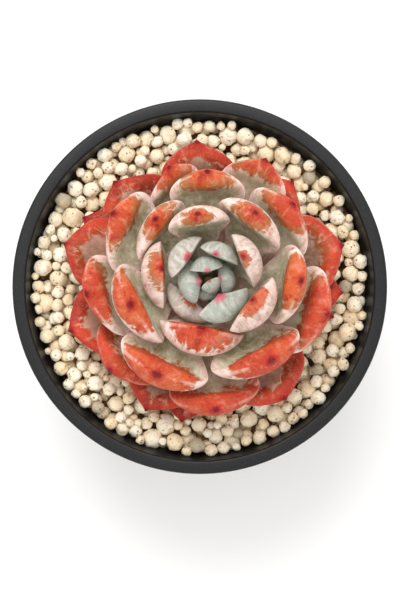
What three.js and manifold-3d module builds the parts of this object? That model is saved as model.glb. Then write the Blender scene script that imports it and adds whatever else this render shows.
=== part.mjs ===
// Potted rosette succulent: thick spoon-shaped leaves on a short stem, in a round tapered pot
// whose growing mix is covered by a layer of round granules.
// Millimetres, +Z up, the pot's foot on z = 0 and its axis on x = y = 0; +Y is the back of the pot.
import * as THREE from "three";
import Module from "manifold-3d";

// Pot: a plain tapered shell with a flat rim, a foot ring and one drain hole.
const POT_DIAMETER = 110;
const POT_HEIGHT = 86;
const POT_FOOT_DIAMETER = 78;
const POT_WALL = 4;
const POT_FLOOR = 5;
const RIM_ROUND = 0.7;
const FOOT_RING_WIDTH = 8;
const FOOT_RECESS = 1.5;
const DRAIN_DIAMETER = 14;

// Growing mix and the granules over it.
const GRANULE_DROP = 7;
const GRANULE_DEPTH = 11;
const GRANULE_RELIEF = 1.5;
const GRANULE_SIZE = 4.4;

// Rosette: its leaf table is written for TABLE_DIAMETER and TABLE_HEIGHT, and follows these two.
const ROSETTE_DIAMETER = 86;
const ROSETTE_HEIGHT = 44;
const ROSETTE_OFFSET_X = 2.6;
const ROSETTE_OFFSET_Y = 1.5;
const TABLE_DIAMETER = 87.3;
const TABLE_HEIGHT = 44;
const LEAF_CLEARANCE = 0.8;
const STEM_DIAMETER = 10;
const STEM_TOP_DIAMETER = 2.4;
const LEAF_BASE_WIDTH = 4.4;
const LEAF_BASE_THICKNESS = 2.6;
const INNER_PLUMPNESS = 0.37;
const OUTER_PLUMPNESS = 0.24;
const LEAF_CUP = 0.16;
const TIP_POINT = 1.1;

// Space left between pieces that touch.
const GAP = 0.3;

const POT_SEGMENTS = 72;
const LEAF_SIDES = 12;

// Stations along a leaf, from its base to just before its point.
const STATIONS = [0, 0.2, 0.42, 0.6, 0.76, 0.88, 0.955];
const WIDEST = 0.72;
const PLUMPEST = 0.82;

// One leaf a row, from the heart outwards: azimuth in degrees, reach of the tip from the rosette's
// axis, full width, tilt of the end above level, turn of the end about the upright, sideways shift
// of the point as a share of the half-width.
const LEAVES = [
  [300, 0.2, 5.8, 90, 0, 0],
  [102, 2.5, 9.4, 104, -6, 0],
  [250, 2.6, 7.6, 96, 0, 0],
  [4, 2.7, 9.6, 107, 4, 0.1],
  [184, 2.2, 12.4, 124, 4, 0],
  [303, 4.9, 16, 124, -6, 0],
  [63, 7.5, 11.4, 88, 4, 0.3],
  [136, 8.6, 14, 94, 13, -0.1],
  [229, 7, 16, 108, 0, -0.1],
  [27, 11.3, 16, 88, -6, 0.2],
  [328, 12.6, 19, 100, -12, 0.2],
  [177, 13, 18.6, 100, 8, -0.3],
  [100, 19.1, 17.6, 70, -2, 0],
  [261, 13.5, 24.5, 100, -2, 0],
  [136, 23.1, 20.3, 70, 8, -0.2],
  [52, 23.2, 21.2, 66, 1, 0.15],
  [200, 23.1, 25, 78, 11, -0.1],
  [355, 26, 22.4, 64, -4, 0.2],
  [91, 31.4, 21.6, 56, 1, 0],
  [300, 28.5, 26.4, 70, -2, 0.3],
  [241, 30.6, 27.4, 74, 5, 0],
  [151, 33.6, 23.4, 50, 3, -0.3],
  [38, 32.7, 23.2, 52, 4, 0.2],
  [342, 35.8, 26.2, 52, 3, 0.1],
  [190, 35.3, 24.2, 58, 9, -0.2],
  [115, 34.1, 18.2, 48, 12, -0.4],
  [65, 38.8, 20, 40, 2, 0],
  [273, 37.6, 26.4, 66, 3, 0],
  [222, 39.2, 23.4, 50, 3, 0],
  [15, 40.2, 23.6, 30, 0, 0],
  [303, 41.2, 24, 46, 4, 0],
  [167, 43.6, 21.6, 34, -3, -0.1],
  [95, 41, 22.2, 34, -4, 0],
  [132, 40.3, 23.4, 34, -2, 0.1],
  [50, 38.1, 19, 30, -3, 0],
  [153, 41.8, 17, 28, -4, 0],
  [201, 43.7, 22.6, 30, -1, -0.1],
  [244, 42.2, 22, 30, -1, 0],
  [259, 42.4, 19, 26, 1, 0],
  [355, 39.2, 19, 26, 3, 0],
  [344, 38.3, 17, 24, -2, 0],
];

// How high a tip is set in the rosette, as a share of the rosette's height, by reach in the table.
const TIP_HEIGHT = [
  [0, 0.88],
  [4, 0.88],
  [9, 0.96],
  [14, 1],
  [19, 0.98],
  [24, 0.94],
  [31, 0.82],
  [36, 0.66],
  [40, 0.52],
  [44, 0.4],
];

const wasm = await Module();
wasm.setup();

const radians = (degrees) => (degrees * Math.PI) / 180;
const mix = (a, b, t) => a + (b - a) * t;
const clamp01 = (t) => Math.min(1, Math.max(0, t));
const smooth = (t) => clamp01(t) ** 2 * (3 - 2 * clamp01(t));

// A repeatable value from 0 to 1 for a whole number.
function chance(index) {
  const x = Math.sin(index * 12.9898 + 4.1) * 43758.5453;
  return x - Math.floor(x);
}

// Straight-line reading of a list of [key, value] pairs.
function readCurve(pairs, key) {
  const after = pairs.findIndex(([k]) => k > key);
  if (after === 0) {
    return pairs[0][1];
  }
  if (after < 0) {
    return pairs[pairs.length - 1][1];
  }
  const [k0, v0] = pairs[after - 1];
  const [k1, v1] = pairs[after];
  return mix(v0, v1, (key - k0) / (k1 - k0));
}

// A body turned about Z from a closed outline of [radius, height], given anticlockwise.
function turned(outline, segments = POT_SEGMENTS) {
  const points = [...outline, outline[0]].map(([r, z]) => new THREE.Vector2(r, z));
  const geometry = new THREE.LatheGeometry(points, segments);
  geometry.rotateX(Math.PI / 2);
  geometry.scale(1, -1, 1);
  geometry.index.array.reverse();
  return geometry;
}

function material(colour, roughness) {
  return new THREE.MeshStandardMaterial({ color: colour, roughness, metalness: 0 });
}

function named(name, geometry, look) {
  const mesh = new THREE.Mesh(geometry, look);
  mesh.name = name;
  return mesh;
}

// ---- Pot ----

const potRadius = POT_DIAMETER / 2;
const footRadius = POT_FOOT_DIAMETER / 2;
const outerRadiusAt = (z) => mix(footRadius, potRadius, z / POT_HEIGHT);
const innerRadiusAt = (z) => outerRadiusAt(z) - POT_WALL;
const drainRadius = DRAIN_DIAMETER / 2;

function potGeometry() {
  const recess = footRadius - FOOT_RING_WIDTH;
  return turned([
    [drainRadius, FOOT_RECESS],
    [recess, FOOT_RECESS],
    [recess + FOOT_RECESS, 0],
    [footRadius - 1, 0],
    [footRadius, 1],
    [outerRadiusAt(POT_HEIGHT * 0.5), POT_HEIGHT * 0.5],
    [potRadius, POT_HEIGHT - RIM_ROUND],
    [potRadius - 0.3 * RIM_ROUND, POT_HEIGHT - 0.3 * RIM_ROUND],
    [potRadius - RIM_ROUND, POT_HEIGHT],
    [potRadius - POT_WALL + RIM_ROUND, POT_HEIGHT],
    [potRadius - POT_WALL + 0.3 * RIM_ROUND, POT_HEIGHT - 0.3 * RIM_ROUND],
    [innerRadiusAt(POT_HEIGHT - RIM_ROUND), POT_HEIGHT - RIM_ROUND],
    [innerRadiusAt(POT_FLOOR + 3), POT_FLOOR + 3],
    [innerRadiusAt(POT_FLOOR) - 3, POT_FLOOR],
    [drainRadius, POT_FLOOR],
  ]);
}

// ---- Stem, growing mix and granules ----

const granuleTop = POT_HEIGHT - GRANULE_DROP;
const granuleFloor = granuleTop - GRANULE_DEPTH;
const scale = ROSETTE_DIAMETER / TABLE_DIAMETER;
const stack = ROSETTE_HEIGHT / TABLE_HEIGHT;
const stemFoot = granuleFloor - 14;

// The rosette is laid out above a floor of its own at z = 0, and lifted over the granules afterwards.
const stemShoulder = 0.4 * ROSETTE_HEIGHT;
const stemTip = 0.63 * ROSETTE_HEIGHT;

// The stem is straight up to its shoulder and narrows to a dome under the heart.
function stemRadiusAt(z) {
  const t = clamp01((z - stemShoulder) / (stemTip - stemShoulder));
  return mix(STEM_DIAMETER / 2, STEM_TOP_DIAMETER / 2, t ** 1.3);
}

function stemGeometry(lift) {
  const steps = [0, 0.35, 0.7, 1];
  const upper = steps.map((t) => {
    const z = mix(stemShoulder, stemTip, t);
    return [stemRadiusAt(z), z + lift];
  });
  const outline = [[0.001, stemFoot], [STEM_DIAMETER / 2, stemFoot], ...upper, [0.001, stemTip + lift]];
  const points = outline.map(([r, z]) => new THREE.Vector2(r < 0.01 ? 0 : r, z));
  const geometry = new THREE.LatheGeometry(points, 24);
  geometry.rotateX(Math.PI / 2);
  geometry.scale(1, -1, 1);
  geometry.index.array.reverse();
  geometry.translate(ROSETTE_OFFSET_X, ROSETTE_OFFSET_Y, 0);
  return geometry;
}

// A closed solid from an indexed geometry, with its doubled corners joined.
function solidOf(geometry) {
  const source = geometry.getAttribute("position");
  const found = new Map();
  const remap = [];
  const points = [];
  for (let i = 0; i < source.count; i += 1) {
    const p = [source.getX(i), source.getY(i), source.getZ(i)];
    const key = p.map((value) => Math.round(value * 1000)).join();
    if (!found.has(key)) {
      found.set(key, points.length / 3);
      points.push(...p);
    }
    remap.push(found.get(key));
  }
  const corners = [];
  for (let i = 0; i < geometry.index.count; i += 3) {
    const [a, b, c] = [0, 1, 2].map((n) => remap[geometry.index.getX(i + n)]);
    if (a !== b && b !== c && c !== a) {
      corners.push(a, b, c);
    }
  }
  return new wasm.Manifold(
    new wasm.Mesh({
      numProp: 3,
      vertProperties: new Float32Array(points),
      triVerts: new Uint32Array(corners),
    }),
  );
}

function geometryOf(solid) {
  const mesh = solid.getMesh();
  const geometry = new THREE.BufferGeometry();
  geometry.setAttribute("position", new THREE.BufferAttribute(new Float32Array(mesh.vertProperties), 3));
  geometry.setIndex(new THREE.BufferAttribute(new Uint32Array(mesh.triVerts), 1));
  return geometry;
}

// The mix fills the pot from its floor to the granules, with a socket round the buried stem.
function mixGeometry() {
  const top = granuleFloor - GAP;
  const body = turned([
    [0.001, POT_FLOOR + GAP],
    [innerRadiusAt(POT_FLOOR) - 3 - GAP, POT_FLOOR + GAP],
    [innerRadiusAt(POT_FLOOR + 3) - GAP, POT_FLOOR + 3 + GAP],
    [innerRadiusAt(top) - GAP, top],
    [0.001, top],
  ]);
  const socket = new THREE.CylinderGeometry(STEM_DIAMETER / 2 + GAP, STEM_DIAMETER / 2 + GAP, 40, 24);
  socket.rotateX(Math.PI / 2);
  socket.translate(ROSETTE_OFFSET_X, ROSETTE_OFFSET_Y, stemFoot - GAP + 20);
  return geometryOf(solidOf(body).subtract(solidOf(socket)));
}

// The granule layer: a ring round the stem whose top is a lattice of crowns and hollows.
function dressingGeometry() {
  const low = granuleTop - GRANULE_RELIEF;
  const outer = innerRadiusAt(low) - GAP - 0.1;
  const plain = 0.26 * ROSETTE_DIAMETER;
  const around = 3 * Math.round((2 * Math.PI * outer) / GRANULE_SIZE / 2);
  const rows = Math.max(4, Math.round((outer - plain) / (GRANULE_SIZE * 0.56)));
  const positions = [];
  const rings = [];
  const addRing = (radius, heightOf, centre = [0, 0]) => {
    rings.push(positions.length / 3);
    for (let j = 0; j < around; j += 1) {
      const angle = ((j + 0.5 * (rings.length % 2)) / around) * 2 * Math.PI;
      const [r, z] = heightOf(j, radius);
      positions.push(centre[0] + r * Math.cos(angle), centre[1] + r * Math.sin(angle), z);
    }
  };
  const hole = STEM_DIAMETER / 2 + GAP;
  const at = [ROSETTE_OFFSET_X, ROSETTE_OFFSET_Y];
  addRing(hole, (j, r) => [r, granuleFloor], at);
  addRing(hole, (j, r) => [r, low], at);
  for (let row = 0; row < rows; row += 1) {
    const radius = mix(plain, outer, row / (rows - 1));
    const edge = row === rows - 1;
    addRing(radius, (j, r) => {
      const crown = (j + row + (row % 2)) % 3 === 0;
      const roll = chance(row * 211 + j);
      if (edge) {
        return [r, low];
      }
      return [r + (roll - 0.5) * 0.7, crown ? granuleTop - 0.5 * roll : low + 0.4 * roll];
    });
  }
  addRing(innerRadiusAt(granuleFloor) - GAP, (j, r) => [r, granuleFloor]);
  const faces = [];
  for (let k = 0; k < rings.length; k += 1) {
    const from = rings[k];
    const to = rings[(k + 1) % rings.length];
    const shifted = k % 2 === 1;
    for (let j = 0; j < around; j += 1) {
      const next = (j + 1) % around;
      const [a, b, c, d] = [from + j, from + next, to + j, to + next];
      if (rings.length % 2 === 1 && k === rings.length - 1) {
        faces.push(a, c, b, b, c, d);
      } else if (shifted) {
        faces.push(a, c, d, a, d, b);
      } else {
        faces.push(a, c, b, b, c, d);
      }
    }
  }
  const geometry = new THREE.BufferGeometry();
  geometry.setAttribute("position", new THREE.Float32BufferAttribute(positions, 3));
  geometry.setIndex(faces);
  return geometry;
}

// ---- Leaves ----

// Half-width along a leaf: a narrow base, the broadest part at WIDEST, then an arched end.
function halfWidthAt(leaf, s) {
  const base = leaf.baseWidth / 2;
  const full = leaf.width / 2;
  if (s <= WIDEST) {
    return mix(base, full, smooth(s / WIDEST) ** 1.5);
  }
  const q = (s - WIDEST) / (1 - WIDEST);
  return full * (1 - q ** 2.2) ** 0.72;
}

// Thickness along a leaf: plumpest close to the end, which closes like the end of an egg.
function thicknessAt(leaf, s) {
  const full = leaf.thickness;
  if (s <= PLUMPEST) {
    return mix(leaf.baseThickness, full, smooth(s / PLUMPEST) ** 2.2);
  }
  const q = (s - PLUMPEST) / (1 - PLUMPEST);
  return full * Math.sqrt(1 - q ** 2.1);
}

// Points of one leaf, ring by ring, then its point and the middle of its base.
function leafGeometry(leaf, extra = 0) {
  const foot = new THREE.Vector2(leaf.baseReach, leaf.baseHeight);
  const end = new THREE.Vector2(leaf.reach, leaf.tipHeight);
  const span = foot.distanceTo(end);
  const rise = new THREE.Vector2(Math.cos(leaf.startTilt), Math.sin(leaf.startTilt));
  const finish = new THREE.Vector2(Math.cos(leaf.endTilt), Math.sin(leaf.endTilt));
  const curve = new THREE.CubicBezierCurve(
    foot,
    foot.clone().addScaledVector(rise, leaf.bow * span),
    end.clone().addScaledVector(finish, -leaf.bow * span),
    end,
  );
  const out = new THREE.Vector3(Math.cos(leaf.azimuth), Math.sin(leaf.azimuth), 0);
  const place = (p, side, lift, frame) =>
    new THREE.Vector3(ROSETTE_OFFSET_X, ROSETTE_OFFSET_Y, 0)
      .addScaledVector(out, p.x)
      .add(new THREE.Vector3(0, 0, p.y))
      .addScaledVector(frame.across, side)
      .addScaledVector(frame.face, lift);
  const frameAt = (s) => {
    const t = curve.getTangent(s);
    const heading = leaf.azimuth + leaf.turn * s * s;
    const ahead = new THREE.Vector3(Math.cos(heading), Math.sin(heading), 0);
    return {
      ahead: ahead.clone().multiplyScalar(t.x).setZ(t.y),
      across: new THREE.Vector3(-Math.sin(heading), Math.cos(heading), 0),
      face: ahead.clone().multiplyScalar(-t.y).setZ(t.x),
    };
  };
  const positions = [];
  STATIONS.forEach((s) => {
    const frame = frameAt(s);
    const p = curve.getPoint(s);
    const half = halfWidthAt(leaf, s) + extra;
    const thick = thicknessAt(leaf, s);
    const closing = smooth((s - 0.62) / 0.34);
    const share = mix(0.16, leaf.pointShare, closing);
    const upper = thick * share + extra;
    const lower = thick * (1 - share) + extra;
    const cup = LEAF_CUP * half * smooth(s / 0.5) * (1 - 0.55 * closing);
    const shift = leaf.skew * (leaf.width / 2) * smooth((s - 0.55) / 0.45);
    for (let k = 0; k < LEAF_SIDES; k += 1) {
      const angle = (k / LEAF_SIDES) * 2 * Math.PI;
      const v = Math.cos(angle);
      const bulge = Math.sin(angle) > 0 ? upper : lower;
      const lift = cup * (v * v - 0.4) + bulge * Math.sin(angle);
      positions.push(...place(p, half * v + shift, lift, frame).toArray());
    }
  });
  const last = frameAt(1);
  const point = place(curve.getPoint(1), leaf.skew * (leaf.width / 2), 0, last);
  point.addScaledVector(last.ahead, leaf.point + extra);
  const root = place(foot, 0, 0, frameAt(0)).addScaledVector(frameAt(0).ahead, -extra);
  positions.push(...point.toArray(), ...root.toArray());
  const faces = [];
  const pole = STATIONS.length * LEAF_SIDES;
  for (let k = 0; k < LEAF_SIDES; k += 1) {
    const n = (k + 1) % LEAF_SIDES;
    for (let ring = 0; ring + 1 < STATIONS.length; ring += 1) {
      const [a, b] = [ring * LEAF_SIDES + k, ring * LEAF_SIDES + n];
      const [c, d] = [a + LEAF_SIDES, b + LEAF_SIDES];
      faces.push(a, b, c, b, d, c);
    }
    const top = pole - LEAF_SIDES;
    faces.push(top + k, top + n, pole);
    faces.push(k, pole + 1, n);
  }
  const geometry = new THREE.BufferGeometry();
  geometry.setAttribute("position", new THREE.Float32BufferAttribute(positions, 3));
  geometry.setIndex(faces);
  return geometry;
}

// The table's leaf at its own size, before it settles against its neighbours.
function designLeaf(row, index) {
  const [azimuth, reach, width, tilt, turn, skew] = row;
  const rank = index / (LEAVES.length - 1);
  const height = ROSETTE_HEIGHT * readCurve(TIP_HEIGHT, reach);
  const small = clamp01(width / 16);
  const baseHeight = mix(0.66, 0.17, rank ** 0.85) * ROSETTE_HEIGHT;
  const point = TIP_POINT * mix(0.5, 1, small);
  return {
    azimuth: radians(azimuth),
    reach: reach * scale - point * Math.cos(radians(tilt)),
    bow: mix(0.42, 0.56, smooth((tilt - 84) / 30)),
    width: width * scale,
    endTilt: radians(tilt + 8),
    startTilt: radians(mix(62, 4, rank ** 0.6)),
    turn: radians(turn),
    skew,
    pointShare: mix(0.58, 0.26, smooth((tilt - 56) / 40)),
    thickness: width * stack * mix(INNER_PLUMPNESS, OUTER_PLUMPNESS, rank),
    baseWidth: mix(1.4, LEAF_BASE_WIDTH, small),
    baseThickness: mix(1, LEAF_BASE_THICKNESS, small),
    baseHeight,
    tipHeight: height,
    point,
  };
}

// How much a leaf runs into others near its base and further out, as two volumes.
function clashOf(leaf, others) {
  const solid = solidOf(leafGeometry(leaf, GAP));
  const found = { near: 0, far: 0 };
  others.forEach((other) => {
    const common = solid.intersect(other.solid);
    if (common.volume() < 0.001) {
      return;
    }
    const { min, max } = common.boundingBox();
    const x = (min[0] + max[0]) / 2 - ROSETTE_OFFSET_X;
    const y = (min[1] + max[1]) / 2 - ROSETTE_OFFSET_Y;
    found[Math.hypot(x, y) < 0.42 * leaf.reach ? "near" : "far"] += common.volume();
  });
  return found;
}

// Lowers a leaf at whichever end runs into the leaves inside it, until it clears them all.
function settle(leaf, others) {
  for (let step = 0; step < 160; step += 1) {
    leaf.baseReach = stemRadiusAt(leaf.baseHeight) + GAP + 0.6;
    const { near, far } = clashOf(leaf, others);
    if (near + far < 0.004) {
      break;
    }
    leaf.tipHeight -= far > 0 ? 0.5 : 0.3;
    leaf.baseHeight -= near > 0 ? 0.3 : 0.18;
  }
  leaf.geometry = leafGeometry(leaf);
  leaf.solid = solidOf(leaf.geometry);
  return leaf;
}

const placed = [];
LEAVES.forEach((row, index) => {
  placed.push(settle(designLeaf(row, index), placed));
});

// The lowest leaf lies just clear of the granules, and the stem is as long as that asks for.
const lowestPoint = Math.min(...placed.map((leaf) => leaf.solid.boundingBox().min[2]));
const rosetteLift = granuleTop + LEAF_CLEARANCE - lowestPoint;
placed.forEach((leaf) => leaf.geometry.translate(0, 0, rosetteLift));

// The stem is cut back wherever a leaf would otherwise come closer to it than the gap.
function fittedStemGeometry() {
  const around = placed.map((leaf) => solidOf(leafGeometry(leaf, GAP)).translate(0, 0, rosetteLift));
  return geometryOf(wasm.Manifold.difference([solidOf(stemGeometry(rosetteLift)), ...around]));
}

// ---- Assembly ----

const plant = new THREE.Group();
plant.name = "potted_succulent";
plant.add(named("pot", potGeometry(), material("#3c3f42", 0.8)));
plant.add(named("potting_mix", mixGeometry(), material("#3a2a1e", 1)));
plant.add(named("top_dressing", dressingGeometry(), material("#e6d7b8", 0.95)));
plant.add(named("stem", fittedStemGeometry(), material("#8f8a5c", 0.8)));

const HEART = new THREE.Color("#bccabc");
const BLUSH = new THREE.Color("#dd5b39");
const EDGE = new THREE.Color("#c8402f");
placed.forEach((leaf, index) => {
  const rank = index / (placed.length - 1);
  const colour = HEART.clone().lerp(BLUSH, smooth((rank - 0.16) / 0.16));
  colour.lerp(EDGE, smooth((rank - 0.6) / 0.4));
  const name = `leaf_${String(index + 1).padStart(2, "0")}`;
  plant.add(named(name, leaf.geometry, material(colour, 0.6)));
});

export default plant;
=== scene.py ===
"""Looks of the potted rosette succulent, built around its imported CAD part. Metres, same frame as the part."""
import math
import random

import bmesh
import bpy
import numpy as np
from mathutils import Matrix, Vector, noise


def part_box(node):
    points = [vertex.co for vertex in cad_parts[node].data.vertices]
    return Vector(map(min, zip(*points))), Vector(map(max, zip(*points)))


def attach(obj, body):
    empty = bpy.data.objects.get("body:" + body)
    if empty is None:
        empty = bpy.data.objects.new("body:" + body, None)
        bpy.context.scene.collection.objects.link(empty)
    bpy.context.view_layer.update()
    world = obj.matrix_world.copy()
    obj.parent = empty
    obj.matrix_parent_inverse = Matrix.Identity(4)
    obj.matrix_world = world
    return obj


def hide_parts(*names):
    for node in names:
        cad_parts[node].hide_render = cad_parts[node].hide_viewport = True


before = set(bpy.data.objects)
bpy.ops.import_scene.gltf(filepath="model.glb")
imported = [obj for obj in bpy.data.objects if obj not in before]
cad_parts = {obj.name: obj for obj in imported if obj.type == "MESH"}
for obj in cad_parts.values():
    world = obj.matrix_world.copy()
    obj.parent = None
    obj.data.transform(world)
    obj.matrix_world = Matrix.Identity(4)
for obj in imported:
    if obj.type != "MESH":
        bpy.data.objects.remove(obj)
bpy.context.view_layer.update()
MM = 0.001


def linear(r, g, b):
    """A display colour of 0 to 255 as linear light, with alpha."""
    out = []
    for c in (r, g, b):
        c = c / 255
        out.append(c / 12.92 if c <= 0.04045 else ((c + 0.055) / 1.055) ** 2.4)
    return (*out, 1.0)


class Graph:
    """A material's node tree, written as nested calls."""

    def __init__(self, name):
        self.material = bpy.data.materials.new(name)
        self.material.use_nodes = True
        self.tree = self.material.node_tree
        self.shader = self.tree.nodes["Principled BSDF"]

    def put(self, socket, value):
        if isinstance(value, bpy.types.NodeSocket):
            self.tree.links.new(value, socket)
        else:
            socket.default_value = value

    def node(self, kind, **settings):
        node = self.tree.nodes.new(kind)
        for key, value in settings.items():
            setattr(node, key, value)
        return node

    def math(self, operation, a, b=0.0):
        node = self.node("ShaderNodeMath", operation=operation)
        self.put(node.inputs[0], a)
        self.put(node.inputs[1], b)
        return node.outputs[0]

    def plus(self, a, b):
        return self.math("ADD", a, b)

    def minus(self, a, b):
        return self.math("SUBTRACT", a, b)

    def times(self, a, b):
        return self.math("MULTIPLY", a, b)

    def absolute(self, a):
        return self.math("ABSOLUTE", a)

    def mix(self, amount, a, b, blend="MIX"):
        node = self.node("ShaderNodeMix", data_type="RGBA", blend_type=blend)
        self.put(node.inputs[0], amount)
        self.put(node.inputs[6], a)
        self.put(node.inputs[7], b)
        return node.outputs[2]

    def ramp(self, value, low, high):
        """0 at low, 1 at high, smooth between and level beyond. Low may be the larger."""
        node = self.node("ShaderNodeMapRange", interpolation_type="SMOOTHSTEP")
        self.put(node.inputs[0], value)
        self.put(node.inputs[1], low)
        self.put(node.inputs[2], high)
        self.put(node.inputs[3], 0.0)
        self.put(node.inputs[4], 1.0)
        return node.outputs[0]

    def attribute(self, name):
        node = self.node("ShaderNodeAttribute", attribute_name=name)
        return node.outputs["Fac"]

    def place(self):
        return self.node("ShaderNodeTexCoord").outputs["Object"]

    def vector(self, x, y, z):
        node = self.node("ShaderNodeCombineXYZ")
        self.put(node.inputs[0], x)
        self.put(node.inputs[1], y)
        self.put(node.inputs[2], z)
        return node.outputs[0]

    def sway(self, value, amount):
        """A noise value moved to run from -amount/2 to +amount/2."""
        return self.times(self.minus(value, 0.5), amount)

    def noise(self, scale, detail=3.0, rough=0.5, at=None, warp=0.0):
        node = self.node("ShaderNodeTexNoise")
        self.put(node.inputs["Vector"], at if at is not None else self.place())
        self.put(node.inputs["Scale"], scale)
        self.put(node.inputs["Detail"], detail)
        self.put(node.inputs["Roughness"], rough)
        self.put(node.inputs["Distortion"], warp)
        return node.outputs["Fac"]

    def cells(self, scale):
        node = self.node("ShaderNodeTexVoronoi", feature="F1")
        self.put(node.inputs["Vector"], self.place())
        self.put(node.inputs["Scale"], scale)
        return node.outputs["Distance"]

    def bump(self, height, strength, distance):
        node = self.node("ShaderNodeBump")
        self.put(node.inputs["Height"], height)
        self.put(node.inputs["Strength"], strength)
        self.put(node.inputs["Distance"], distance)
        return node.outputs["Normal"]

    def finish(self, colour, roughness, normal, **extra):
        self.put(self.shader.inputs["Base Color"], colour)
        self.put(self.shader.inputs["Roughness"], roughness)
        self.put(self.shader.inputs["Normal"], normal)
        for name, value in extra.items():
            self.put(self.shader.inputs[name], value)
        return self.material


def piece(name, points, faces, material, nodes):
    """A mesh in the part's frame that rides on the root and stands for CAD nodes."""
    mesh = bpy.data.meshes.new(name)
    mesh.from_pydata([tuple(p) for p in points], [], faces)
    mesh.materials.append(material)
    mesh.polygons.foreach_set("use_smooth", [True] * len(mesh.polygons))
    mesh.update()
    obj = bpy.data.objects.new(name, mesh)
    bpy.context.scene.collection.objects.link(obj)
    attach(obj, "root")
    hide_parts(*nodes)
    return obj


def attribute(obj, name, values):
    layer = obj.data.attributes.new(name, "FLOAT", "POINT")
    layer.data.foreach_set("value", np.asarray(values, np.float32).ravel())


# ---- Materials ----


def leaf_material():
    g = Graph("leaf_skin")
    along, side, face = g.attribute("along"), g.attribute("side"), g.attribute("face")
    across, shore, spread = g.attribute("across"), g.attribute("shore"), g.attribute("spread")
    tip, age, sun = g.attribute("tip"), g.attribute("age"), g.attribute("sun")
    chance = g.attribute("chance")
    wide = g.absolute(side)
    upper = g.ramp(face, -0.05, 0.3)
    heart = g.ramp(age, 0.27, 0.12)
    old = g.ramp(age, 0.55, 0.8)
    drift = g.noise(120, 3, 0.6)
    broad = g.noise(60, 2, 0.5)
    flakes = g.noise(360, 5, 0.68, warp=0.9)
    fine = g.noise(1500, 3, 0.6)
    lanes = g.vector(
        g.times(across, 4.5),
        g.times(along, 7.5),
        g.plus(g.times(chance, 37.0), g.times(face, 0.8)),
    )
    streaks = g.noise(1.0, 5, 0.68, at=lanes, warp=0.9)

    # Flesh: olive grey-green in the cup, bluer in the heart, and brownish pink on the oldest leaves.
    green = g.mix(g.ramp(broad, 0.35, 0.65), linear(134, 130, 88), linear(184, 180, 150))
    green = g.mix(heart, green, g.mix(g.ramp(broad, 0.3, 0.7), linear(108, 121, 102), linear(150, 162, 145)))
    green = g.mix(g.times(old, 0.6), green, linear(178, 124, 106))

    # Farina: a pale wax that is rubbed thin in the cup and left thick on the margins and the back.
    cup = g.times(upper, g.ramp(shore, 0.0, 0.4))
    wax = g.minus(0.84, g.times(cup, 0.36))
    calm = g.minus(1.0, g.times(heart, 0.55))
    wax = g.plus(wax, g.times(g.plus(g.sway(streaks, 1.2), g.sway(flakes, 0.6)), calm))
    wax = g.minus(wax, g.times(heart, 0.12))
    wax = g.times(g.ramp(wax, 0.2, 0.95), 0.9)
    pale = g.mix(g.ramp(streaks, 0.35, 0.65), linear(206, 170, 158), linear(240, 218, 211))
    pale = g.mix(heart, pale, g.mix(g.ramp(streaks, 0.3, 0.7), linear(184, 188, 178), linear(222, 219, 212)))
    pale = g.mix(g.times(cup, 0.75), pale, linear(226, 228, 204))
    pale = g.mix(g.times(old, 0.7), pale, linear(214, 150, 138))
    colour = g.mix(wax, green, pale)

    # Sun blush: a patch round the point on the younger leaves, a band along the outline on the older.
    rough_edge = g.plus(g.sway(streaks, 1.1), g.plus(g.sway(drift, 0.8), g.sway(flakes, 0.8)))
    reach = g.times(g.ramp(age, 0.1, 0.32), 1.06)
    reach = g.plus(reach, g.times(g.ramp(age, 0.3, 0.6), 0.16))
    reach = g.plus(reach, g.times(g.sway(sun, 0.3), g.ramp(age, 0.14, 0.3)))
    over_patch = g.minus(g.plus(spread, rough_edge), reach)
    depth = g.plus(g.times(shore, g.ramp(face, -0.3, 0.1)), g.times(rough_edge, 0.62))
    over_band = g.minus(depth, 0.5)
    over = g.plus(g.times(over_patch, g.minus(1.0, old)), g.times(over_band, old))
    patch = g.ramp(over, 0.11, -0.09)
    tan = g.mix(g.ramp(drift, 0.35, 0.65), linear(166, 104, 58), linear(190, 120, 72))
    orange = g.mix(g.ramp(broad, 0.35, 0.65), linear(212, 98, 48), linear(196, 64, 32))
    orange = g.mix(g.ramp(g.plus(flakes, g.sway(streaks, 0.8)), 0.46, 0.3), orange, linear(166, 44, 26))
    red = g.mix(g.ramp(drift, 0.35, 0.6), linear(152, 30, 26), linear(214, 76, 46))
    warmth = g.plus(sun, g.plus(g.sway(drift, 1.4), g.ramp(over, -0.1, -0.6)))
    warm = g.mix(g.ramp(warmth, 0.3, 1.0), tan, orange)
    outer = g.plus(g.times(age, 1.15), g.sway(drift, 1.0))
    warm = g.mix(g.ramp(outer, 0.5, 1.0), warm, red)
    young = g.times(g.ramp(age, 0.3, 0.2), 0.5)
    warm = g.mix(young, warm, linear(206, 130, 112))
    veil = g.times(g.ramp(g.plus(streaks, g.sway(flakes, 1.1)), 0.5, 0.72), 0.62)
    veil = g.times(veil, g.minus(1.1, g.times(sun, 0.6)))
    warm = g.mix(veil, warm, linear(224, 160, 136))
    colour = g.mix(g.times(patch, 0.95), colour, warm)

    # Deeper red along the outline of the older leaves, and scattered red freckles.
    rim = g.times(g.ramp(g.plus(shore, g.sway(drift, 0.3)), 0.22, 0.0), g.ramp(age, 0.6, 0.8))
    colour = g.mix(g.times(rim, 0.5), colour, linear(160, 28, 28))
    freckle = g.times(g.ramp(g.cells(120), 0.15, 0.05), g.ramp(g.noise(60, 1), 0.5, 0.56))
    freckle = g.times(freckle, g.times(patch, g.ramp(age, 0.3, 0.45)))
    colour = g.mix(g.times(freckle, 0.75), colour, linear(136, 18, 26))

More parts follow.
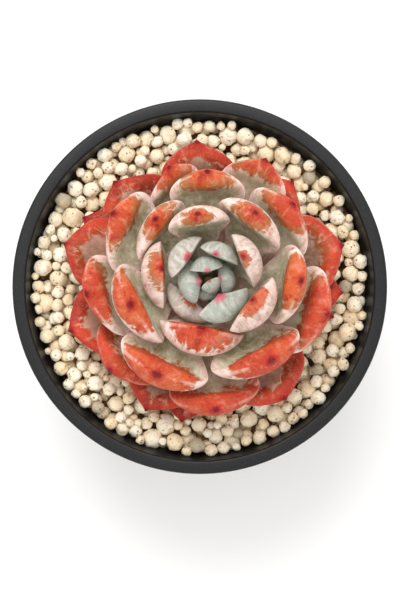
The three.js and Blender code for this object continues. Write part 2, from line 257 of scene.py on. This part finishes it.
    # Tan scuffs at the ragged edge, and a thin pale line on the margins.
    scuff = g.times(g.ramp(g.absolute(over), 0.2, 0.02), g.ramp(flakes, 0.5, 0.62))
    scuff = g.times(scuff, g.ramp(age, 0.2, 0.3))
    colour = g.mix(g.times(scuff, 0.6), colour, linear(142, 92, 54))
    flaky = g.times(g.ramp(g.absolute(over), 0.26, 0.05), g.ramp(streaks, 0.52, 0.6))
    colour = g.mix(g.times(g.times(flaky, old), 0.6), colour, linear(228, 186, 174))
    line = g.times(g.ramp(wide, 0.965, 1.0), g.ramp(g.plus(tip, g.sway(flakes, 1.6)), 0.3, 0.9))
    line = g.times(line, g.minus(0.55, g.times(old, 0.5)))
    colour = g.mix(line, colour, linear(234, 214, 208))

    # Red point with a darker middle.
    spot = g.plus(tip, g.sway(flakes, 0.16))
    halo = g.times(g.ramp(g.minus(spot, g.times(heart, 0.12)), 0.3, 0.1), 0.8)
    colour = g.mix(halo, colour, g.mix(heart, linear(172, 30, 30), linear(206, 96, 118)))
    core = g.times(g.ramp(spot, 0.17, 0.06), 0.9)
    colour = g.mix(core, colour, g.mix(heart, linear(112, 8, 24), linear(196, 44, 84)))
    dust = g.times(g.ramp(fine, 0.52, 0.7), 0.09)
    colour = g.mix(dust, colour, linear(240, 222, 212))
    tint = g.mix(patch, (0.97, 0.93, 0.92, 1.0), (0.84, 0.72, 0.62, 1.0))
    tint = g.mix(heart, tint, (0.82, 0.84, 0.83, 1.0))
    colour = g.mix(1.0, colour, tint, blend="MULTIPLY")

    rough = g.plus(0.4, g.times(wax, 0.26))
    height = g.plus(g.times(flakes, 0.6), g.times(fine, 0.25))
    height = g.plus(height, g.times(streaks, 0.6))
    normal = g.bump(height, 0.5, 0.3 * MM)
    return g.finish(
        colour,
        rough,
        normal,
        **{
            "Subsurface Weight": 0.12,
            "Subsurface Radius": (1.0, 0.4, 0.25),
            "Subsurface Scale": 1.2 * MM,
            "Specular IOR Level": 0.2,
        },
    )


def granule_material():
    g = Graph("granules")
    shade, grey = g.attribute("shade"), g.attribute("grey")
    cream = g.mix(shade, linear(244, 226, 190), linear(255, 248, 228))
    cream = g.mix(g.ramp(grey, 0.2, 1.0), cream, linear(186, 176, 152))
    # Brown at the bed's value of grey: painted shade for the gaps between the loose granules.
    cream = g.mix(g.ramp(grey, 1.2, 1.6), cream, linear(120, 88, 54))
    mottled = g.mix(g.ramp(g.noise(480, 4, 0.6), 0.52, 0.74), cream, linear(226, 194, 146))
    # Pits are dents of bump only, darkened brown as painted shade inside them.
    shaded_pits = g.ramp(g.cells(700), 0.3, 0.08)
    shaded_pits = g.times(shaded_pits, g.ramp(g.noise(300, 2), 0.44, 0.56))
    colour = g.mix(g.times(shaded_pits, 0.72), mottled, linear(140, 98, 56))
    specks = g.ramp(g.noise(1700, 2), 0.6, 0.7)
    colour = g.mix(g.times(specks, 0.4), colour, linear(160, 118, 72))
    height = g.minus(g.noise(900, 4, 0.65), g.times(shaded_pits, 0.8))
    return g.finish(colour, 0.88, g.bump(height, 1.0, 0.5 * MM), **{"Specular IOR Level": 0.2})


def pot_material():
    g = Graph("pot_matt")
    grain = g.noise(2600, 2, 0.6)
    cloud = g.noise(70, 3, 0.5)
    colour = g.mix(cloud, linear(14, 15, 16), linear(22, 23, 25))
    colour = g.mix(g.times(g.ramp(grain, 0.58, 0.74), 0.3), colour, linear(74, 76, 80))
    rough = g.plus(0.32, g.times(grain, 0.14))
    return g.finish(colour, rough, g.bump(grain, 0.3, 0.1 * MM), **{"Specular IOR Level": 0.3})


def mix_material():
    g = Graph("potting_mix")
    lumps = g.noise(420, 5, 0.65)
    colour = g.mix(lumps, linear(40, 28, 20), linear(92, 66, 46))
    return g.finish(colour, 0.95, g.bump(lumps, 0.8, 1.2 * MM))


def stem_material():
    g = Graph("stem_bark")
    streak = g.noise(300, 4, 0.6)
    colour = g.mix(streak, linear(112, 104, 66), linear(160, 150, 104))
    return g.finish(colour, 0.75, g.bump(streak, 0.5, 0.4 * MM))


# ---- Leaves: each CAD leaf's rings are read back, and a fine skin is run through them ----

STATIONS = (0.0, 0.2, 0.42, 0.6, 0.76, 0.88, 0.955)  # where the rings lie, from 0 at the base to 1 at the tip
SIDES = 12  # corners of a ring
HALF_TURN, QUARTER_TURN = SIDES // 2, SIDES // 4
WIDE_RING, LOWER_RING = 4, 3
CLOSE = 0.8  # the station from which a leaf closes towards its tip
ROWS, COLUMNS = 44, 48  # of the fine skin
ROW_CROWDING = 1.35  # above 1, rows lie closer together near the tip
POINT_LENGTH, POINT_WIDTH = 0.45 * MM, 0.8 * MM
FULL_POINT_WIDTH = 0.016  # a narrower leaf has a shorter point
FULL_WAVE_WIDTH = 0.014  # a narrower leaf has a smoother skin
LEAST_HALF_WIDTH = 0.02 * MM


def stretch(s):
    """Station to spline parameter, which opens out the closing end of a leaf."""
    if s <= CLOSE:
        return s / CLOSE
    return 1 + (1 - CLOSE) / CLOSE * math.asin(min(1.0, (s - CLOSE) / (1 - CLOSE)))


def unstretch(t):
    if t <= 1:
        return t * CLOSE
    return CLOSE + (1 - CLOSE) * math.sin((t - 1) * CLOSE / (1 - CLOSE))


def spline(knots, values):
    """Natural cubic spline through values at the knots, as a function."""
    x, y = np.asarray(knots, float), np.asarray(values, float)
    n = len(x)
    h = np.diff(x)
    a, r = np.eye(n), np.zeros(y.shape)
    for i in range(1, n - 1):
        a[i, i - 1 : i + 2] = h[i - 1], 2 * (h[i - 1] + h[i]), h[i]
        r[i] = 6 * ((y[i + 1] - y[i]) / h[i] - (y[i] - y[i - 1]) / h[i - 1])
    m = np.linalg.solve(a, r)

    def at(t):
        i = int(np.clip(np.searchsorted(x, t) - 1, 0, n - 2))
        p, q = x[i + 1] - t, t - x[i]
        return (
            m[i] * p**3 / (6 * h[i])
            + m[i + 1] * q**3 / (6 * h[i])
            + (y[i] / h[i] - m[i] * h[i] / 6) * p
            + (y[i + 1] / h[i] - m[i + 1] * h[i] / 6) * q
        )

    return at


def unit(v):
    return v / (np.linalg.norm(v) + 1e-12)


def leaf_rings(name, axis):
    """A CAD leaf's rings from base to tip, each from its left margin over the upper face, and its tip."""
    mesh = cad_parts[name].data
    co = np.array([v.co for v in mesh.vertices], float)
    _, first, back = np.unique(np.round(co * 1e6).astype(int), axis=0, return_index=True, return_inverse=True)
    back = back.ravel()
    points = co[first]
    near = [set() for _ in points]
    for polygon in mesh.polygons:
        ids = [int(back[i]) for i in polygon.vertices]
        for i in ids:
            near[i].update(j for j in ids if j != i)
    poles = sorted((i for i in range(len(points)) if len(near[i]) == SIDES), key=lambda i: points[i][2])
    tip = poles[-1]
    seen, layer, layers = {tip}, {tip}, []
    while True:
        layer = {j for i in layer for j in near[i]} - seen
        if len(layer) != SIDES:
            break
        seen |= layer
        layers.append(layer)
    start = min(layers[0])
    ring = [start]
    while len(ring) < SIDES:
        ring.append(next(j for j in near[ring[-1]] if j in layers[0] and j not in ring))
    centre = points[ring].mean(0)
    forward = points[tip] - points[sorted(layers[2])].mean(0)
    turn = sum(np.cross(points[ring[i - 1]] - centre, points[ring[i]] - centre) for i in range(SIDES))
    if turn @ forward < 0:
        ring.reverse()
    rings = [ring]
    for layer in layers[1:]:
        ahead = rings[-1]
        rings.append([next(iter(near[ahead[k - 1]] & near[ahead[k]] & layer)) for k in range(SIDES)])
    rings.reverse()
    wide = [points[i] for i in rings[WIDE_RING]]
    k0 = max(range(SIDES), key=lambda k: np.linalg.norm(wide[k] - wide[(k + HALF_TURN) % SIDES]))
    low = [points[i] for i in rings[LOWER_RING]]
    outward = np.mean(low, 0) - np.array([axis[0], axis[1], 0])
    across = np.cross([0, 0, 1], [outward[0], outward[1], 0])
    if (low[k0] - low[(k0 + HALF_TURN) % SIDES]) @ across < 0:
        k0 += HALF_TURN
    order = [(k0 + k) % SIDES for k in range(SIDES)]
    return np.array([[points[ring[k]] for k in order] for ring in rings]), points[tip]


def leaf_skin(name, index, count, axis, material):
    rings, tip = leaf_rings(name, axis)
    angles = np.arange(SIDES) / SIDES * 2 * np.pi
    sines = np.sin(angles)
    basis = np.stack([np.cos(angles) ** 2 - 1, np.maximum(sines, 0), np.minimum(sines, 0)], 1)
    knots = [stretch(s) for s in STATIONS] + [stretch(1.0)]
    middle, across, facing, numbers = [], [], [], []
    for ring in rings:
        centre = (ring[0] + ring[HALF_TURN]) / 2
        half = (ring[0] - ring[HALF_TURN]) / 2
        up = unit(ring[QUARTER_TURN] - ring[-QUARTER_TURN])
        lifts = (ring - centre) @ up
        fit = np.linalg.lstsq(basis, lifts, rcond=None)[0]
        middle.append(centre)
        across.append(unit(half))
        facing.append(up)
        numbers.append([np.linalg.norm(half), *fit])
    middle.append(tip)
    across.append(across[-1])
    facing.append(facing[-1])
    numbers.append([0.0, 0.0, 0.0, 0.0])
    middle_at, across_at = spline(knots, middle), spline(knots, across)
    facing_at, number_at = spline(knots, facing), spline(knots, numbers)
    width = 2 * max(n[0] for n in numbers)
    forward = unit(tip - middle[-2])
    rng = random.Random(index * 7 + 3)
    shift = Vector([rng.uniform(-50, 50) for _ in range(3)])
    point = POINT_LENGTH * min(1.0, width / FULL_POINT_WIDTH)

    points, along, side, face, halves = [], [], [], [], []
    ends = np.linspace(0, 1, ROWS)
    for u in ends[:-1]:
        t = knots[-1] * (1 - (1 - u) ** ROW_CROWDING)
        s = unstretch(t)
        half, cup, upper, lower = number_at(t)
        half = max(half, LEAST_HALF_WIDTH)
        centre, left, up = middle_at(t), unit(across_at(t)), unit(facing_at(t))
        for c in range(COLUMNS):
            angle = c / COLUMNS * 2 * math.pi
            v, w = math.cos(angle), math.sin(angle)
            bulge = (upper if w > 0 else lower) * math.copysign(abs(w) ** 1.12, w)
            p = centre + left * half * v + up * (cup * (v * v - 1) + bulge)
            wave = noise.noise(Vector(p) * 170 + shift) * 0.16 + noise.noise(Vector(p) * 420 + shift) * 0.05
            grow = min(1.0, half / (0.3 * width + 1e-9))
            p = p + (up * w * 0.8 + left * v * 0.6) * wave * MM * grow * min(1.0, width / FULL_WAVE_WIDTH)
            away = np.linalg.norm(p - tip)
            p = p + forward * point * math.exp(-((away / POINT_WIDTH) ** 2))
            points.append(p)
            along.append(s)
            side.append(v)
            face.append(w)
            halves.append(half)
    points.append(tip + forward * point)
    along.append(1.0)
    side.append(0.0)
    face.append(0.0)
    halves.append(0.0)
    rows = ROWS - 1
    faces = []
    for r in range(rows - 1):
        for c in range(COLUMNS):
            n = (c + 1) % COLUMNS
            faces.append((r * COLUMNS + c, r * COLUMNS + n, (r + 1) * COLUMNS + n, (r + 1) * COLUMNS + c))
    last = (rows - 1) * COLUMNS
    faces += [(last + c, last + (c + 1) % COLUMNS, len(points) - 1) for c in range(COLUMNS)]
    faces.append(tuple(reversed(range(COLUMNS))))
    obj = piece(name + "_skin", points, faces, material, [name])
    # Distances on the blade, all as shares of its half-width: to the tip, to the outline, across it, and an
    # oval round the tip that is wider than it is deep.
    offsets = (np.array(points) - points[-1]) / (width / 2)
    away = np.linalg.norm(offsets, axis=1)
    left = unit(across_at(knots[-2]))
    sideways = np.abs(offsets @ left)
    lengthwise = np.linalg.norm(offsets - np.outer(offsets @ left, left), axis=1)
    spans = np.array(halves) / (width / 2)
    attribute(obj, "across", np.array(side) * spans)
    attribute(obj, "shore", (1 - np.abs(side)) * spans)
    depth = np.where(np.array(face) > 0, 0.64, 0.52)
    attribute(obj, "spread", np.hypot(sideways / 0.95, lengthwise / depth))
    attribute(obj, "along", along)
    attribute(obj, "side", side)
    attribute(obj, "face", face)
    attribute(obj, "tip", away)
    attribute(obj, "age", [index / (count - 1)] * len(points))
    attribute(obj, "chance", [rng.random()] * len(points))
    # The plant's front, towards -Y, has had more sun than its back.
    heading = math.atan2(tip[1] - axis[1], tip[0] - axis[0])
    attribute(obj, "sun", [0.5 - 0.42 * math.sin(heading) + rng.uniform(-0.12, 0.12)] * len(points))


stem_low, stem_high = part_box("stem")
axis = ((stem_low.x + stem_high.x) / 2, (stem_low.y + stem_high.y) / 2)
leaf_names = sorted(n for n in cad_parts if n.startswith("leaf_"))
skin = leaf_material()
for index, name in enumerate(leaf_names):
    leaf_skin(name, index, len(leaf_names), axis, skin)


# ---- Granules: balls dropped one by one into the lowest of several places ----

CHOICES = 48  # places looked at for each ball
BALL_RADIUS, BALL_SPREAD, BALL_LEAST, BALL_MOST = 2.08, 0.44, 1.0, 3.1  # millimetres
BALL_KINDS = 12
GREY_SHARE = 0.035
BANK, BANK_START, BANK_WIDTH = 2.7 * MM, 37 * MM, 6 * MM
DISH_DEPTH = 8 * MM
POT_TAPER = 0.186  # run of the pot's wall outwards for each unit of height
DISH_INSET = 4.1 * MM  # from the pot's outside to the dish that the balls fill
BED_RINGS, BED_SPOKES, BED_DEPTH = 46, 150, 6.2 * MM
BED_PAINTED_SHADE = 1.6  # the value of "grey" that turns a granule brown; the bed gets it, as painted shade in the gaps between the loose granules


def bank(x, y):
    """How much higher the granules lie out by the wall than under the leaves."""
    t = np.clip((np.hypot(x - axis[0], y - axis[1]) - BANK_START) / BANK_WIDTH, 0, 1)
    return BANK * t * t * (3 - 2 * t)


def settle_balls(rng, wall, floor, top, stem, count):
    """Centres and sizes of balls that fill a round dish from floor to top, round a stem."""
    balls = np.zeros((0, 4))
    for _ in range(count):
        r = float(np.clip(rng.normal(BALL_RADIUS, BALL_SPREAD), BALL_LEAST, BALL_MOST)) * MM
        level = floor + (top + BANK - floor) * rng.random(CHOICES)
        reach = wall(level) - r
        reach[CHOICES // 6 :] *= np.sqrt(rng.random(CHOICES))[CHOICES // 6 :]
        angle = rng.random(CHOICES) * 2 * math.pi
        x, y = reach * np.cos(angle), reach * np.sin(angle)
        z = np.full(CHOICES, floor + r)
        if len(balls):
            gap2 = (balls[:, 0] - x[:, None]) ** 2 + (balls[:, 1] - y[:, None]) ** 2
            span2 = (balls[:, 3] + r) ** 2
            rest = np.where(gap2 < span2, balls[:, 2] + np.sqrt(np.maximum(span2 - gap2, 0)), 0.0)
            z = np.maximum(z, rest.max(1))
        depth = z + 0.3 * r - top - bank(x, y)
        depth[np.hypot(x - axis[0], y - axis[1]) < stem + r] = 1.0
        depth[reach + r > wall(z) + 0.3 * MM] = 1.0
        best = int(depth.argmin())
        if depth[best] < 0:
            balls = np.vstack([balls, (x[best], y[best], z[best], r)])
    return balls


def ball_shapes(rng, count):
    """A few knobbly unit balls as vertex arrays over one shared set of faces."""
    built = bmesh.new()
    bmesh.ops.create_icosphere(built, subdivisions=3, radius=1.0)
    base = [v.co.copy() for v in built.verts]
    faces = [[v.index for v in f.verts] for f in built.faces]
    built.free()
    shapes = []
    for _ in range(count):
        shift = Vector([rng.uniform(-50, 50) for _ in range(3)])
        shape = []
        for p in base:
            lump = 0.17 * noise.noise(p * 1.3 + shift) + 0.1 * noise.noise(p * 3.1 + shift)
            lump += 0.05 * noise.noise(p * 7 + shift)
            shape.append(p * (1 + lump))
        shapes.append(np.array(shape))
    return shapes, np.array(faces)


def granules(material, wall, top):
    """Loose knobbly balls, each with its own tone. A few are grey."""
    rng = np.random.default_rng(5)
    tries = 3200
    balls = settle_balls(rng, wall, top - DISH_DEPTH, top, (stem_high.x - stem_low.x) / 2, tries)
    shapes, shape_faces = ball_shapes(rng, BALL_KINDS)
    points, faces, shade, grey = [], [], [], []
    base = 0
    for n, (x, y, z, r) in enumerate(balls):
        turn = np.linalg.qr(rng.normal(size=(3, 3)))[0]
        squash = rng.uniform(0.9, 1.08, 3)
        shape = shapes[n % len(shapes)] * squash @ turn.T * r * 1.03 + (x, y, z)
        points.append(shape)
        faces.append(shape_faces + base)
        base += len(shape)
        shade += [rng.random()] * len(shape)
        grey += [1.0 if rng.random() < GREY_SHARE else 0.0] * len(shape)
    faces = np.concatenate(faces).tolist()
    obj = piece("granules", np.concatenate(points), faces, material, ["top_dressing"])
    attribute(obj, "shade", shade)
    attribute(obj, "grey", grey)


def granule_bed(material, wall, top):
    """Crushed granules between and under the loose ones, darker brown than these as painted shade in the gaps
    between them.
    """
    level = top - BED_DEPTH
    points = [(0.0, 0.0, level)]
    for i in range(1, BED_RINGS + 1):
        for j in range(BED_SPOKES):
            angle, reach = 2 * math.pi * j / BED_SPOKES, (wall(top) - 0.2 * MM) * i / BED_RINGS
            x, y = reach * math.cos(angle), reach * math.sin(angle)
            lump = noise.noise(Vector((x, y, 0.3)) * 620) + 0.5 * noise.noise(Vector((x, y, 0.7)) * 1300)
            points.append((x, y, level + float(bank(x, y)) + 0.9 * MM * lump))
    faces = [(0, 1 + j, 1 + (j + 1) % BED_SPOKES) for j in range(BED_SPOKES)]
    for i in range(BED_RINGS - 1):
        a, b = 1 + i * BED_SPOKES, 1 + (i + 1) * BED_SPOKES
        for j in range(BED_SPOKES):
            n = (j + 1) % BED_SPOKES
            faces.append((a + j, b + j, b + n, a + n))
    points.append((0.0, 0.0, level - 2.5 * MM))
    edge = 1 + (BED_RINGS - 1) * BED_SPOKES
    faces += [(edge + (j + 1) % BED_SPOKES, edge + j, len(points) - 1) for j in range(BED_SPOKES)]
    bed = piece("granule_bed", points, faces, material, ["top_dressing"])
    attribute(bed, "shade", [0.0] * len(points))
    # The bed's grey value gives it the brown of painted shade.
    attribute(bed, "grey", [BED_PAINTED_SHADE] * len(points))


pot_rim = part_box("pot")[1]


def dish_radius(z):
    """Reach of the space inside the pot that the granules fill, at a height."""
    return pot_rim.x - DISH_INSET - (pot_rim.z - z) * POT_TAPER


dressing_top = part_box("top_dressing")[1].z + 0.2 * MM
granule_skin = granule_material()
granules(granule_skin, dish_radius, dressing_top)
granule_bed(granule_skin, dish_radius, dressing_top)


# ---- Pot: its turned profile, with rounded lips ----


def turned(name, outline, segments, material, nodes):
    """A closed outline of (radius, height) turned about the upright, as a piece."""
    points, faces = [], []
    for j in range(segments):
        angle = 2 * math.pi * j / segments
        points += [(r * math.cos(angle), r * math.sin(angle), z) for r, z in outline]
    count = len(outline)
    for j in range(segments):
        m = (j + 1) % segments
        for i in range(count):
            k = (i + 1) % count
            faces.append((j * count + i, m * count + i, m * count + k, j * count + k))
    piece(name, points, faces, material, nodes)


def lip(cx, cz, radius, start, end, steps=7):
    """Points of a rounded edge, turning from start to end in degrees."""
    angles = [math.radians(start + (end - start) * i / (steps - 1)) for i in range(steps)]
    return [(cx + radius * math.cos(a), cz + radius * math.sin(a)) for a in angles]


def pot(material):
    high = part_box("pot")[1]
    rim, height = high.x, high.z
    corners = [v.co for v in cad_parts["pot"].data.vertices]
    foot = max(math.hypot(c.x, c.y) for c in corners if c.z < 0.4 * MM) + 1 * MM
    wall, floor, soft, drain = 4 * MM, 5 * MM, 0.75 * MM, 7 * MM

    def outer(z):
        return foot + (rim - foot) * z / height

    def inner(z):
        return outer(z) - wall

    outline = [(drain, 1.5 * MM), (31 * MM, 1.5 * MM), (32.3 * MM, 0.3 * MM), (33.2 * MM, 0.0)]
    outline += lip(foot - 1.2 * MM, 1.2 * MM, 1.2 * MM, -90, 0, 5)
    outline += [(outer(height * k / 8), height * k / 8) for k in range(1, 8)]
    outline += lip(rim - soft, height - soft, soft, 10, 90)
    outline += lip(rim - wall + soft, height - soft, soft, 90, 185)
    outline += [(inner(height - 3 * MM), height - 3 * MM), (inner(height * 0.5), height * 0.5)]
    outline += [(inner(floor + 3 * MM), floor + 3 * MM), (inner(floor) - 3 * MM, floor), (drain, floor)]
    turned("pot_skin", outline, 160, material, ["pot"])


pot(pot_material())


def mix_and_stem():
    """The CAD meshes of the mix and the stem, which are kept, get their materials."""
    for name, material, slot in (("potting_mix", mix_material(), "mix"), ("stem", stem_material(), "stem")):
        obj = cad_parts[name]
        obj.data.materials.clear()
        obj.data.materials.append(material)


mix_and_stem()


# ---- Floor, light and camera ----


FLOOR_HALF, FLOOR_DROP = 2, 0.2 * MM
LIGHT_TARGET = Vector((0, 0, 0.09))
CAMERA_DISTANCE = 650 * MM  # above the rim
CAMERA_SHIFT = (0.22 * MM, -4.07 * MM)
SENSOR = 36.0
IMAGE_ROWS, ROW_STEP_MM = 601, 0.2931


def floor():
    g = Graph("floor_pale")
    cloud = g.noise(6, 3, 0.5)
    g.finish(g.mix(cloud, linear(250, 250, 250), linear(246, 246, 246)), 0.9, g.bump(cloud, 0.02, MM))
    corners = [(-1, -1), (1, -1), (1, 1), (-1, 1)]
    mesh = bpy.data.meshes.new("floor")
    mesh.from_pydata([(FLOOR_HALF * x, FLOOR_HALF * y, -FLOOR_DROP) for x, y in corners], [], [(0, 1, 2, 3)])
    mesh.materials.append(g.material)
    obj = bpy.data.objects.new("floor", mesh)
    bpy.context.scene.collection.objects.link(obj)


def lights():
    """A pale even sky, and one large soft light above and behind."""
    world = bpy.data.worlds.new("studio")
    world.use_nodes = True
    sky = world.node_tree.nodes["Background"]
    sky.inputs["Color"].default_value = (1.0, 0.99, 0.975, 1.0)
    sky.inputs["Strength"].default_value = 1.12
    bpy.context.scene.world = world

    light = bpy.data.lights.new("key_back", "AREA")
    light.shape = "DISK"
    light.size = 0.55
    light.energy = 6.0
    lamp = bpy.data.objects.new("key_back", light)
    bpy.context.scene.collection.objects.link(lamp)
    lamp.location = (-0.1, 0.5, 0.98)
    lamp.rotation_mode = "QUATERNION"
    lamp.rotation_quaternion = (LIGHT_TARGET - lamp.location).to_track_quat("-Z", "Y")


def camera():
    """Straight above the pot, looking down."""
    data = bpy.data.cameras.new("camera")
    obj = bpy.data.objects.new("camera", data)
    bpy.context.scene.collection.objects.link(obj)
    data.sensor_width = SENSOR
    data.lens = SENSOR * CAMERA_DISTANCE / (IMAGE_ROWS * ROW_STEP_MM * MM)
    obj.location = (*CAMERA_SHIFT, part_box("pot")[1].z + CAMERA_DISTANCE)
    data.clip_start, data.clip_end = 0.05, 20.0
    bpy.context.scene.camera = obj


floor()
lights()
camera()
bpy.context.scene.view_settings.view_transform = "Standard"
